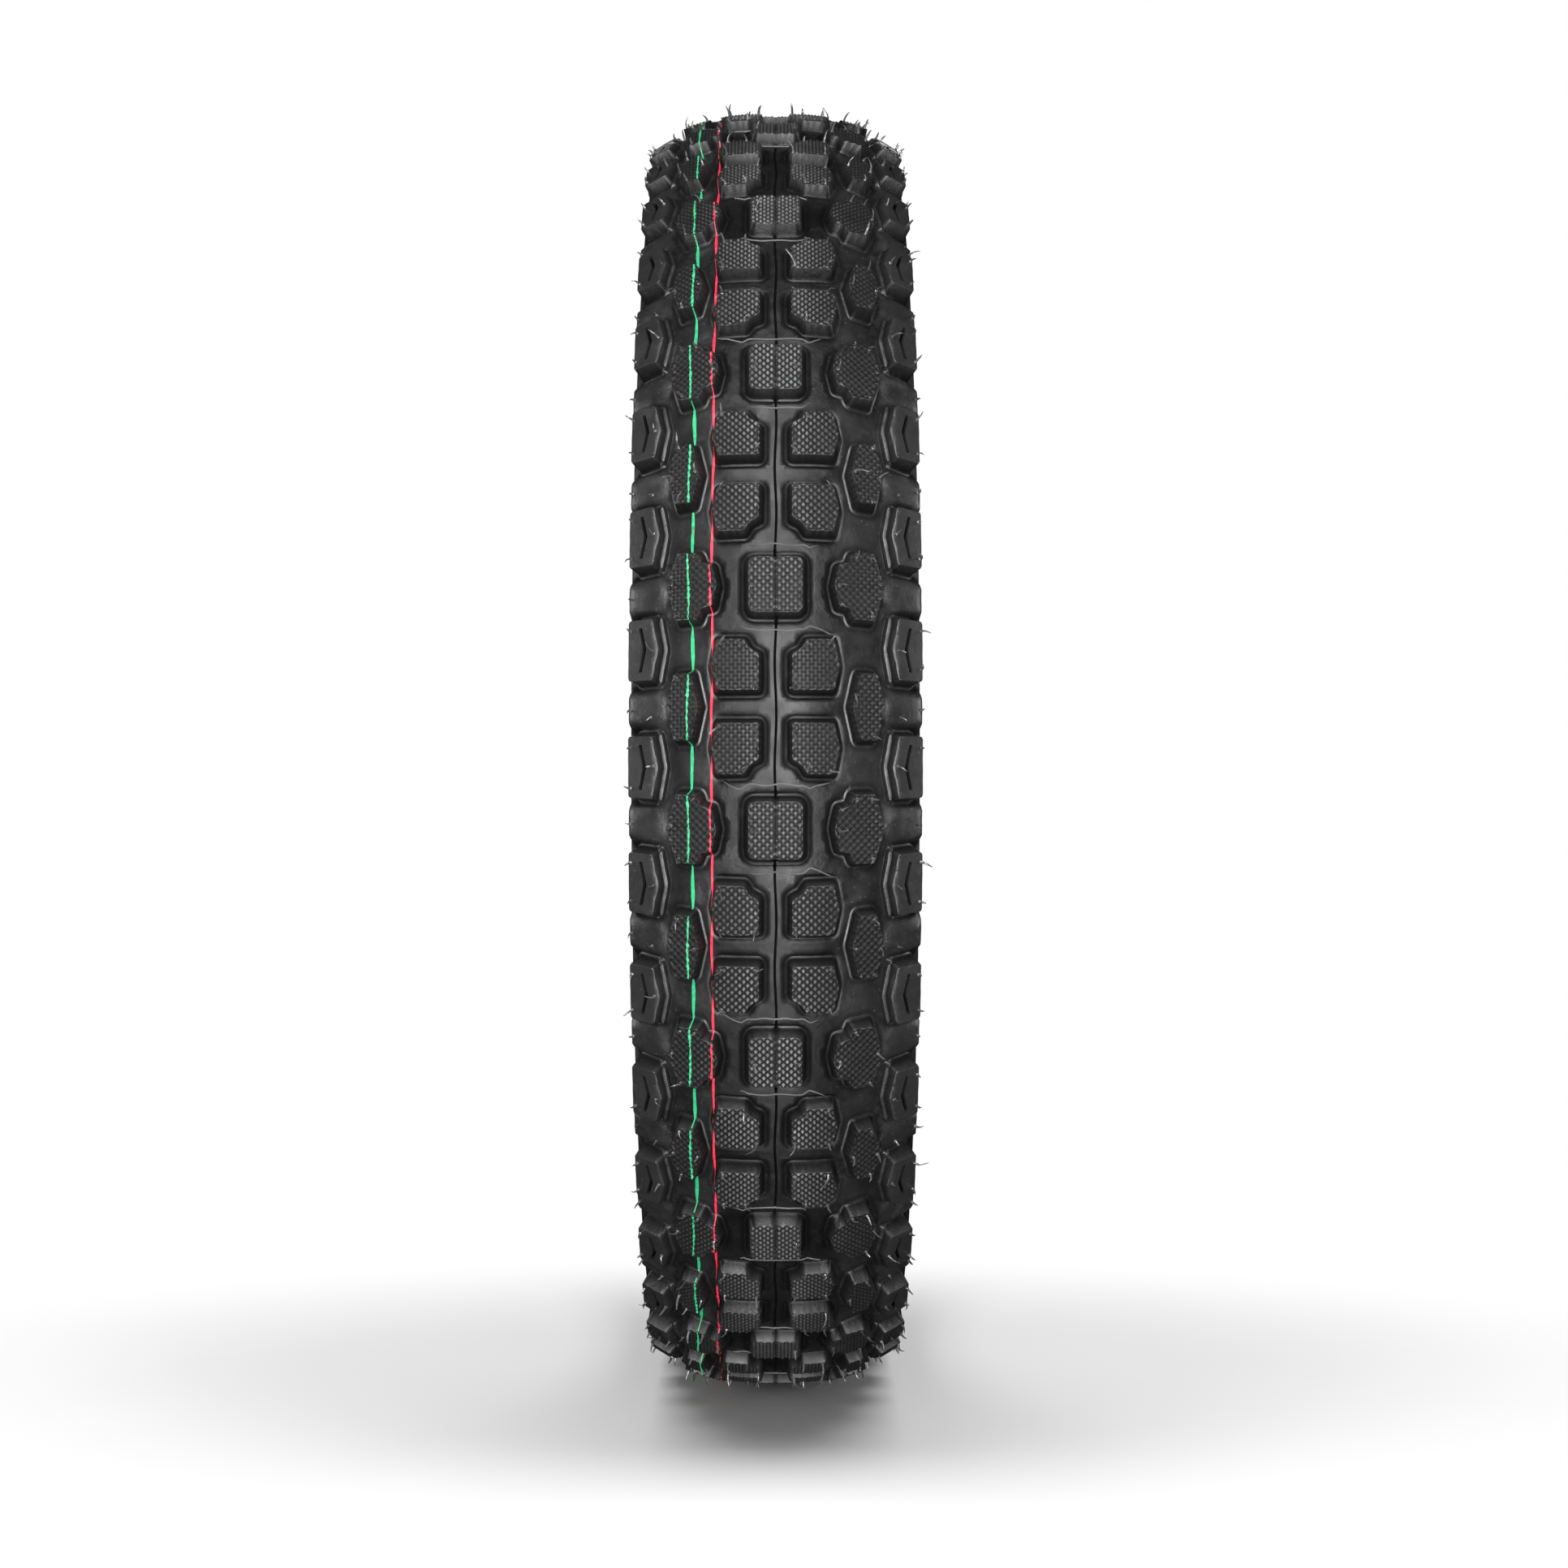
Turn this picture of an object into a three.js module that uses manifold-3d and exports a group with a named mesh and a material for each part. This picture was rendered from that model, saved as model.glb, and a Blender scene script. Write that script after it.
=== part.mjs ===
// A block-tread motorcycle tyre, built up as a cross-ply tyre is: bead wires, fillers and wraps,
// two casing plies, two breakers, shoulder wedges, inner liner, sidewalls, rim strips, undertread
// and the moulded tread. Millimetres. The axle is +Y, +Z is up, the origin is the tyre's centre.
import * as THREE from 'three';
import { mergeVertices } from 'three/addons/utils/BufferGeometryUtils.js';
import { ConvexGeometry } from 'three/addons/geometries/ConvexGeometry.js';
import Module from 'manifold-3d';

const wasm = await Module();
wasm.setup();

// ---- Driving dimensions -------------------------------------------------------------------
const OUTER_RADIUS = 325; // axle to the top of the centre knobs
const PITCHES = 20; // repeats of the tread pattern round the tyre
const FRONT_PHASE = 0.671; // part of a pitch, from a centre knob, that faces +X and the ground
const KNOB_HEIGHT = 6; // centre and intermediate knobs, above the tread floor
const SHOULDER_STEP = 2.35; // how far the shoulder knobs' tops lie below the crown's curve
const KNOB_DRAFT = 2; // how much wider a knob is at its foot, on each side
const KNOB_ROOT = 1.6; // how far a knob reaches into the tread's base, so that they are one body
const CROWN_FLAT = 10; // half width of the flat middle of the crown
const CROWN_CURVE = 92; // radius of the crown's curve on each side of the flat
const TREAD_BASE = 3; // rubber under the tread floor
const UNDERTREAD = 1.4;
const BREAKER = 1;
const LINER = 1;
const WRAP = 0.6;
const CHAFER = 1.2;
const PLY = 1.1; // a casing ply
const GAP = 0.3; // clearance between neighbouring layers
const TREAD_FACETS = 40;
const CASING_FACETS = 20;

const PITCH = (2 * Math.PI * OUTER_RADIUS) / PITCHES;
const CURVE_CENTRE = OUTER_RADIUS - CROWN_CURVE;
const PLY_STEP = PLY + GAP;

// Depths of the layers' tops under the tread floor, and of the outer ply's middle.
const UNDERTREAD_DEPTH = TREAD_BASE + GAP;
const OUTER_BREAKER_DEPTH = UNDERTREAD_DEPTH + UNDERTREAD + GAP;
const INNER_BREAKER_DEPTH = OUTER_BREAKER_DEPTH + BREAKER + GAP;
const OUTER_PLY_DEPTH = INNER_BREAKER_DEPTH + BREAKER + GAP + PLY / 2;

// ---- Section outlines: [distance from the centre plane, radius], right half ----------------
// The visible floor of the tread, from the flat crown to the edge where the sidewall starts.
const TREAD_FLOOR = [[14, 318.9], [31, 315.9], [48.5, 306.4], [60.3, 292.6]];
// The layers under the tread follow its floor, and each ends short of the one above.
const UNDERTREAD_LINE = [...TREAD_FLOOR.slice(0, 3), [53.5, 300.55]];
const OUTER_BREAKER_LINE = [...TREAD_FLOOR.slice(0, 2), [45, 308.3]];
const INNER_BREAKER_LINE = [...TREAD_FLOOR.slice(0, 2), [40, 311.01]];
// Middle line of the outer ply, which ends on the outside of the bead.
const CROWN_LINE = inset(TREAD_FLOOR, OUTER_PLY_DEPTH).slice(0, 3);
const OUTER_PLY = [...CROWN_LINE, [55.6, 280], [53.8, 260], [40.8, 238], [35.95, 230], [35.95, 221.5]];
// Middle line of the inner ply, which goes down inside the bead, round under it and back up.
const BEAD_TURN = [[24.65, 227], [24.65, 218.7], [34.55, 218.7]];
const TURN_UP = inset(OUTER_PLY, PLY_STEP).slice(5, 7).reverse();
const INNER_PLY = [
  ...inset(OUTER_PLY, PLY_STEP).slice(0, 4), [51.6, 260.3], [32.6, 236.5], ...BEAD_TURN, ...TURN_UP,
];
const SIDEWALL_SKIN = [
  [50.8, 290.1], [57.8, 290], [60.5, 292.2], [60.4, 278], [58.2, 259.5], [44.8, 236.8],
];
const SHOULDER_WEDGE = [
  [44.4, 301.7], [45, 302.1], [49.8, 296.9], [51.2, 297.8], [57.1, 290.9], [50.5, 290.6],
];
const BEAD_FILLER = [[26.4, 227], [33.3, 227], [33.4, 231], [38.6, 239.2], [34, 236.4]];
const BEAD_WRAP = [[25.8, 226.5], [25.8, 219.8], [33.4, 219.8], [33.4, 226.5]];
const RIM_STRIP = [[41.3, 235.8], [37.4, 229.4], [37.4, 217.2], [23.2, 216.2], [23.2, 226]];
const BEAD_CENTRE = [29.6, 223.4];
const BEAD_HALF_WIDTH = 3.2;
const BEAD_HALF_HEIGHT = 2.8;

// ---- Outline helpers -----------------------------------------------------------------------
// A line moved sideways by a distance, to its right as it runs from the crown down to the bead:
// towards the inside of the tyre when the distance is positive. Corners keep the layers parallel.
function inset(line, distance) {
  const normals = line.slice(1).map(([y, r], i) => {
    const [dy, dr] = [y - line[i][0], r - line[i][1]];
    const length = Math.hypot(dy, dr);
    return [dr / length, -dy / length];
  });
  return line.map(([y, r], i) => {
    const before = i === 0 ? [0, -1] : normals[i - 1];
    const after = normals[Math.min(i, normals.length - 1)];
    const [ny, nr] = [before[0] + after[0], before[1] + after[1]];
    const scale = (2 * distance) / (ny * ny + nr * nr);
    return [y + ny * scale, r + nr * scale];
  });
}

const mirrored = (line) => line.map(([y, r]) => [-y, r]);

// A closed band across both halves of the tyre, between two depths under a right-half line.
function crownBand(line, top, bottom) {
  const [outer, inner] = [inset(line, top), inset(line, bottom)];
  return [...mirrored(outer).reverse(), ...outer, ...inner.reverse(), ...mirrored(inner).reverse()];
}

// A closed band on one side only, half its thickness on each side of its middle line.
function sideBand(line, thickness) {
  return [...inset(line, -thickness / 2), ...inset(line, thickness / 2).reverse()];
}

// ---- Solids --------------------------------------------------------------------------------
function ring(outline, facets) {
  const points = outline.map(([y, r]) => new THREE.Vector2(r, y));
  if (THREE.ShapeUtils.area(points) < 0) points.reverse();
  return new THREE.LatheGeometry([...points, points[0]], facets);
}

function solid(geometry) {
  geometry.deleteAttribute('normal');
  geometry.deleteAttribute('uv');
  const merged = mergeVertices(geometry);
  const mesh = new wasm.Mesh({
    numProp: 3,
    vertProperties: merged.attributes.position.array,
    triVerts: new Uint32Array(merged.index.array),
  });
  return new wasm.Manifold(mesh);
}

function fromSolid(manifold) {
  const mesh = manifold.getMesh();
  const geometry = new THREE.BufferGeometry();
  geometry.setAttribute('position', new THREE.BufferAttribute(mesh.vertProperties, 3));
  geometry.setIndex(new THREE.BufferAttribute(mesh.triVerts, 1));
  return geometry;
}

// ---- Tread knobs ---------------------------------------------------------------------------
// A point over the tread: `across` runs along the crown's curve from the centre plane, `along` runs
// round the tyre from a centre knob, and `depth` is measured under the crown's curve.
function crownPoint(across, along, depth) {
  const side = Math.sign(across);
  const bend = Math.max(0, Math.abs(across) - CROWN_FLAT) / CROWN_CURVE;
  const reach = CROWN_CURVE - depth;
  const lateral = side * (Math.min(Math.abs(across), CROWN_FLAT) + reach * Math.sin(bend));
  const radius = CURVE_CENTRE + reach * Math.cos(bend);
  const turn = (2 * Math.PI * (along / PITCH - FRONT_PHASE)) / PITCHES;
  return new THREE.Vector3(radius * Math.cos(turn), lateral, -radius * Math.sin(turn));
}

// Depth of the tread floor under the crown's curve, which grows towards the shoulder.
const FLOOR_DEPTHS = [[30, KNOB_HEIGHT], [51.8, 9], [65, 10.5], [74.5, 14]];
function floorDepth(across) {
  const q = Math.abs(across);
  const next = FLOOR_DEPTHS.findIndex(([at]) => q < at);
  if (next === 0) return KNOB_HEIGHT;
  if (next < 0) return FLOOR_DEPTHS.at(-1)[1];
  const [[a, low], [b, high]] = [FLOOR_DEPTHS[next - 1], FLOOR_DEPTHS[next]];
  return low + ((high - low) * (q - a)) / (b - a);
}

// One knob: its top outline as [across, along] corners, its foot wider by the draft.
function knob(corners, topDepth = 0, outerFoot = KNOB_DRAFT) {
  const middle = corners.reduce(([a, b], [c, d]) => [a + c / corners.length, b + d / corners.length], [0, 0]);
  const points = [];
  for (const [across, along] of corners) {
    const outward = Math.abs(across) > Math.abs(middle[0]) ? outerFoot : KNOB_DRAFT;
    const footAcross = across + Math.sign(across - middle[0]) * outward;
    const footAlong = along + Math.sign(along - middle[1]) * KNOB_DRAFT;
    points.push(crownPoint(across, along, topDepth));
    points.push(crownPoint(footAcross, footAlong, floorDepth(footAcross) + KNOB_ROOT));
  }
  return new ConvexGeometry(points);
}

// Top outlines on the right side, one pitch, starting at a centre knob.
const CENTRE_KNOB = [[-10.8, -12], [10.8, -12], [10.8, 12], [-10.8, 12]];
const PAIR_KNOB = [[6.8, 44], [6.8, 23.6], [25, 23.6], [25, 44]];
const LARGE_KNOB = [[24, 0], [30, -14], [41.5, -14], [46.2, 0], [41.5, 14], [30, 14]];
const NARROW_KNOB = [[32.2, 51], [35.6, 37.5], [44.3, 37.5], [47.4, 51], [44.3, 64.5], [35.6, 64.5]];
const SHOULDER_KNOB = [[52.5, 11.8], [66, 11.8], [66, 39.3], [52.5, 39.3]];
const SHOULDER_FOOT = 7; // how far the shoulder knob's outer wall runs down onto the sidewall

const acrossMirror = (corners) => corners.map(([across, along]) => [-across, along]);
const alongMirror = (corners) => corners.map(([across, along]) => [across, PITCH - along]);

function knobsOfOnePitch() {
  const knobs = [knob(CENTRE_KNOB)];
  for (const side of [(c) => c, acrossMirror]) {
    knobs.push(knob(side(PAIR_KNOB)), knob(side(alongMirror(PAIR_KNOB))));
    knobs.push(knob(side(LARGE_KNOB)), knob(side(NARROW_KNOB)));
    for (const outline of [SHOULDER_KNOB, alongMirror(SHOULDER_KNOB)]) {
      knobs.push(knob(side(outline), SHOULDER_STEP, SHOULDER_FOOT));
    }
  }
  return knobs;
}

function treadCap() {
  const pieces = [solid(ring(crownBand(TREAD_FLOOR, 0, TREAD_BASE), TREAD_FACETS))];
  for (let pitch = 0; pitch < PITCHES; pitch += 1) {
    for (const geometry of knobsOfOnePitch()) {
      pieces.push(solid(geometry.rotateY((pitch * 2 * Math.PI) / PITCHES)));
    }
  }
  return fromSolid(wasm.Manifold.union(pieces));
}

// ---- The other layers ----------------------------------------------------------------------
const casingRing = (outline) => ring(outline, CASING_FACETS);

function beadBundle() {
  const [y, r] = BEAD_CENTRE;
  const shoulder = BEAD_HALF_WIDTH / 2;
  return [
    [y - BEAD_HALF_WIDTH, r], [y - shoulder, r - BEAD_HALF_HEIGHT], [y + shoulder, r - BEAD_HALF_HEIGHT],
    [y + BEAD_HALF_WIDTH, r], [y + shoulder, r + BEAD_HALF_HEIGHT], [y - shoulder, r + BEAD_HALF_HEIGHT],
  ];
}

function sidewall() {
  const inside = inset(OUTER_PLY.slice(2, 6), -(PLY / 2 + GAP)).slice(1);
  return [...SIDEWALL_SKIN, ...inside.reverse()];
}

// ---- Materials -----------------------------------------------------------------------------
const material = (color, roughness, metalness = 0) =>
  new THREE.MeshStandardMaterial({ color, roughness, metalness });
const treadRubber = () => material(0x2b2a2a, 0.62);
const sidewallRubber = () => material(0x262525, 0.55);
const innerRubber = () => material(0x1f1f20, 0.7);
const plyFabric = () => material(0x4a4238, 0.85);
const breakerFabric = () => material(0x5a4b34, 0.85);
const beadSteel = () => material(0x8a7a52, 0.35, 0.9);
const chaferFabric = () => material(0x303030, 0.8);

// ---- Assembly ------------------------------------------------------------------------------
const tyre = new THREE.Group();

function add(name, geometry, look) {
  const mesh = new THREE.Mesh(geometry, look);
  mesh.name = name;
  tyre.add(mesh);
}

function crownRing(line, depth, thickness) {
  return casingRing(crownBand(line, depth, depth + thickness));
}

add('tread_cap', treadCap(), treadRubber());
add('undertread', crownRing(UNDERTREAD_LINE, UNDERTREAD_DEPTH, UNDERTREAD), innerRubber());
add('breaker_outer', crownRing(OUTER_BREAKER_LINE, OUTER_BREAKER_DEPTH, BREAKER), breakerFabric());
add('breaker_inner', crownRing(INNER_BREAKER_LINE, INNER_BREAKER_DEPTH, BREAKER), breakerFabric());
add('casing_ply_outer', crownRing(OUTER_PLY, -PLY / 2, PLY), plyFabric());
add('casing_ply_inner', crownRing(INNER_PLY, -PLY / 2, PLY), plyFabric());
add('inner_liner', crownRing(INNER_PLY.slice(0, 6), PLY / 2 + GAP, LINER), innerRubber());

for (const [side, place] of [['left', mirrored], ['right', (line) => line]]) {
  const sideRing = (outline) => casingRing(place(outline));
  add(`shoulder_wedge_${side}`, sideRing(SHOULDER_WEDGE), innerRubber());
  add(`sidewall_${side}`, sideRing(sidewall()), sidewallRubber());
  add(`bead_bundle_${side}`, sideRing(beadBundle()), beadSteel());
  add(`bead_filler_${side}`, sideRing(BEAD_FILLER), innerRubber());
  add(`bead_wrap_${side}`, sideRing(sideBand(BEAD_WRAP, WRAP)), chaferFabric());
  add(`chafer_${side}`, sideRing(sideBand(RIM_STRIP, CHAFER)), chaferFabric());
}

export default tyre;
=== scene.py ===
"""A block-tread motorcycle tire standing on its tread: knurled knobs with moats round them, smooth
shoulder knobs with sipes, mould flash, vent spews, two painted tread stripes, sidewalls, rim
strips and the layers inside. The axle is Y, Z is up, and the origin is the tire's centre."""

import math

import bmesh
import bpy
import numpy as np
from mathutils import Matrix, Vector
from mathutils.geometry import delaunay_2d_cdt


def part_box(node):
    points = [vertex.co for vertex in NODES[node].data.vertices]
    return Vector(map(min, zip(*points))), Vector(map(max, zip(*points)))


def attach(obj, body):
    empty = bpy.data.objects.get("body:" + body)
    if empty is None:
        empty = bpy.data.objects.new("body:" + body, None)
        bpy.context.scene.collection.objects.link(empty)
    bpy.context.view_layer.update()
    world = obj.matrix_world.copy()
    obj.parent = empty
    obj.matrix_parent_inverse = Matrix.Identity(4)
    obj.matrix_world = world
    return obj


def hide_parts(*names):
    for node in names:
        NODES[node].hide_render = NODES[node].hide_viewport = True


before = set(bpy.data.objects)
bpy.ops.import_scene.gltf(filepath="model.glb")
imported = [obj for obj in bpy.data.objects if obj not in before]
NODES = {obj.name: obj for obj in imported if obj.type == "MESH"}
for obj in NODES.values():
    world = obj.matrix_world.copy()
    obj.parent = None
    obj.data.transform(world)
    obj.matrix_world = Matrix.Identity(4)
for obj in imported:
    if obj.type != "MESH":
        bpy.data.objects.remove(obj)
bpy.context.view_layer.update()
MM = 0.001

# ---- Driving dimensions, in millimetres unless a name says otherwise ----
OUTER_RADIUS = round(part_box("tread_cap")[1].x / MM)  # axle to the top of the centre knobs
PITCHES = 20  # repeats of the tread pattern round the tire
FRONT_PHASE = 0.671  # part of a pitch, from a centre knob, that faces +X
PITCH = 2 * math.pi * OUTER_RADIUS / PITCHES
CROWN_FLAT = 10.0  # half width of the flat middle of the crown
CROWN_CURVE = 92.0  # radius of the crown's curve on each side of the flat
CURVE_CENTRE = OUTER_RADIUS - CROWN_CURVE
TREAD_EDGE = 74.5  # from the centre plane to the tread's edge, along the crown's curve
TREAD_BASE = 3.0  # rubber under the tread's floor
FLOOR_ACROSS = [30.0, 51.8, 65.0, TREAD_EDGE]
FLOOR_DEPTH = [6.0, 9.0, 10.5, 14.0]  # of the moats, under the crown's curve
PLATEAU = 0.8  # how far the floor between the moats stands above them in the middle
PLATEAU_ACROSS, PLATEAU_SHARE = [24, 30, 50], [1, 0.1, 0.05]
SHOULDER_STEP = 2.35  # how far the shoulder knobs' tops lie below the crown's curve
SHOULDER_INNER = [52.3, 55.0]  # where a shoulder knob's ledge and bevel fade out, across the tread
SHOULDER_BEVEL = 0.55  # how far the bevelled inner edge of a shoulder knob drops
KNURL_ACROSS, KNURL_ALONG, KNURL_DEPTH = 3.3, 3.22, 0.85
SEED = 7
GROOVE_HALF, GROOVE_DEPTH = 0.55, 1.8  # the parting line round the middle of the tread
SIPE_DEPTH, SIPE_WALL = 2.4, 0.12  # a sipe's wall leans in by SIPE_WALL on its way down
PAD_TOP = 7.2  # depth of the pads between shoulder knobs

# Rings round a knob: how far each is outside the outline of its top.
RINGS = [-0.3, 0.0, 1.4, 2.0, 2.8, 3.4, 4.1]
MOAT, MOAT_EDGE = RINGS[4], RINGS[-1]  # where knob and floor are cut apart, and where the moat ends
# At each ring: (share of the way from the knob's top to the moat's floor, extra depth, share of the
# plateau's height).
BLOCK_SECTION = [(0, 0, 0), (0, 0.15, 0), (1, -1.3, 0), (1, -0.3, 0), (1, 0, 0), (1, 0, 0.35), (1, 0, 1)]
# A shoulder knob stands on a ledge.
LEDGE_SECTION = [(0, 0, 0), (0, 0.3, 0), (0.52, 0, 0), (0.56, 0, 0), (0.62, 0, 0), (0.95, 0, 0), (1, 0, 1)]


# ---- The tread's surface ----
def on_tire(across, along, depth):
    """Points in metres. `across` runs over the crown's curve from the centre plane, `along` round
    the tire from a centre knob, and `depth` is under the crown's curve."""
    across, along, depth = np.broadcast_arrays(*(np.asarray(a, float) for a in (across, along, depth)))
    bend = np.maximum(0, np.abs(across) - CROWN_FLAT) / CROWN_CURVE
    reach = CROWN_CURVE - depth
    lateral = np.sign(across) * (np.minimum(np.abs(across), CROWN_FLAT) + reach * np.sin(bend))
    radius = CURVE_CENTRE + reach * np.cos(bend)
    turn = 2 * math.pi * (along / PITCH - FRONT_PHASE) / PITCHES
    return np.stack([radius * np.cos(turn), lateral, -radius * np.sin(turn)], -1) * MM


def mirrored(points, centre):
    """The same outline, mirrored along the tire and still running the same way round."""
    return [(q, 2 * centre - p) for q, p in reversed(points)]


def inset(outline, distance):
    """The outline moved in by a distance. It runs anticlockwise."""
    points, moved = np.array(outline, float), []
    for before, here, after in zip(np.roll(points, 1, 0), points, np.roll(points, -1, 0)):
        ways = [way / np.linalg.norm(way) for way in (here - before, after - here)]
        normals = [np.array([-y, x]) for x, y in ways]
        both = normals[0] + normals[1]
        moved.append(here + both * (2 * distance / (both @ both)))
    return np.array(moved)


def outside(q, p, outline):
    """How far points are outside a closed outline; negative inside."""
    nearest, inside = np.full(q.shape, 1e9), np.zeros(q.shape, bool)
    for (x0, y0), (x1, y1) in zip(outline, np.roll(outline, -1, 0)):
        dx, dy = x1 - x0, y1 - y0
        t = np.clip(((q - x0) * dx + (p - y0) * dy) / (dx * dx + dy * dy), 0, 1)
        nearest = np.minimum(nearest, np.hypot(q - x0 - t * dx, p - y0 - t * dy))
        if dy:
            inside ^= ((y0 > p) != (y1 > p)) & (q < x0 + (p - y0) * dx / dy)
    return np.where(inside, -nearest, nearest)


class Knob:
    """A raised block, by the outline of its top. `rounding` is the radius of the outline's corners."""

    def __init__(self, kind, outline, top=0.0, rounding=0.7):
        area = sum(a[0] * b[1] - b[0] * a[1] for a, b in zip(outline, outline[1:] + outline[:1]))
        outline = outline if area > 0 else outline[::-1]
        self.kind, self.top, self.rounding = kind, top, rounding
        self.core = inset(outline, rounding)
        self.middle = (self.core.min(0) + self.core.max(0)) / 2

    def distance(self, q, p):
        """How far points are outside the top's outline; negative inside."""
        return outside(q, p, self.core) - self.rounding

    def loop(self, distance, step):
        """Points round the knob at a distance outside its top's outline, in order."""
        reach, points = distance + self.rounding, []
        ahead = np.roll(self.core, -1, 0)
        angles = [math.atan2(-(b - a)[0], (b - a)[1]) for a, b in zip(self.core, ahead)]
        for i, (a, b) in enumerate(zip(self.core, ahead)):
            normal = np.array([math.cos(angles[i]), math.sin(angles[i])])
            count = max(1, round(np.linalg.norm(b - a) / step))
            points += [a + (b - a) * j / count + normal * reach for j in range(count + 1)]
            turn = (angles[(i + 1) % len(angles)] - angles[i] + math.pi) % (2 * math.pi) - math.pi
            corners = max(1, round(abs(turn) * reach / step)) if turn > 0 else 0
            for j in range(1, corners):
                at = angles[i] + turn * j / corners
                points.append(b + reach * np.array([math.cos(at), math.sin(at)]))
        points = np.array(points)
        points = points[self.distance(points[:, 0], points[:, 1]) > distance - 0.01]
        kept = [points[0]]
        for point in points[1:]:
            if np.linalg.norm(point - kept[-1]) > 0.35 and np.linalg.norm(point - points[0]) > 0.35:
                kept.append(point)
        return np.array(kept)


# Outlines of the knobs' tops, the pads and the sipes, as (across, along).
PAIR = [(6.9, 29.2), (6.9, 44.3), (24.2, 44.3), (26.6, 33.8), (24.2, 23.1), (13.0, 23.3), (10.6, 27.2)]
LARGE = [
    (24.55, 0), (26.5, -8.9), (30.9, -9.7), (32.75, -14.4), (41.8, -14.4), (46.3, 0),
    (41.8, 14.4), (32.75, 14.4), (30.9, 9.7), (26.5, 8.9),
]
NARROW = [(32.1, 0), (35.5, -14), (42.8, -14), (46.6, 0), (42.8, 14), (35.5, 14)]
SHOULDER = [(51.1, 0), (54.0, -13.5), (66, -13.5), (66, 13.5), (54.0, 13.5)]
CENTRE = [(-11.1, -12), (11.1, -12), (11.1, 12), (-11.1, 12)]
PAD = [(50.5, -5), (50.5, 5), (56, 9), (73, 9), (73, -9), (56, -9)]
SIPE = [(60.5, -9.8), (58.3, 0), (60.5, 9.8), (58.9, 9.8), (56.6, 0), (58.9, -9.8)]


def shifted(outline, along):
    """The same outline, moved along the tire."""
    return [(q, p + along) for q, p in outline]


KNOBS = [
    Knob("centre", CENTRE, rounding=2.7),
    Knob("pair", PAIR),
    Knob("pair", mirrored(PAIR, PITCH / 2)),
    Knob("large", LARGE),
    Knob("narrow", shifted(NARROW, PITCH / 2)),
    Knob("shoulder", shifted(SHOULDER, PITCH / 4), top=SHOULDER_STEP, rounding=1.4),
    Knob("shoulder", shifted(SHOULDER, 3 * PITCH / 4), top=SHOULDER_STEP, rounding=1.4),
]
SIPES = [Knob("sipe", shifted(SIPE, PITCH * at), rounding=0.3) for at in (0.25, 0.75)]
PADS = [Knob("pad", shifted(PAD, PITCH * at), rounding=4.0) for at in (0, 0.5)]
AHEAD = ("centre", "large")  # knobs that lie behind the seam: a pitch's mesh holds the next ones


def wave(x):
    """A triangular wave from 0 to 1, with a peak at each whole number."""
    return 1 - 2 * np.abs(x - np.round(x))


def knurl(across, along, kind):
    """Height from 0 to 1 of the small pyramids on a knob's top."""
    u, v = across / KNURL_ACROSS, along / KNURL_ALONG
    if kind == "centre":
        v = v + np.where(across > 0, 0.5, 0.0)
    one, other = wave(u + v), wave(u - v)
    return 0.35 * np.minimum(one, other) + 0.325 * (one + other)


def swell(across, along):
    """Slow unevenness of moulded rubber, in millimetres, the same at both ends of the tread."""
    turn = 2 * math.pi * along / PITCH
    waves = [(3, 0.11, 0.0), (7, -0.17, 1.3), (5, 0.31, 2.1), (11, 0.07, 4.0), (13, -0.41, 0.7)]
    return 0.035 * sum(np.sin(n * turn + k * across + at) for n, k, at in waves)


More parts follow.
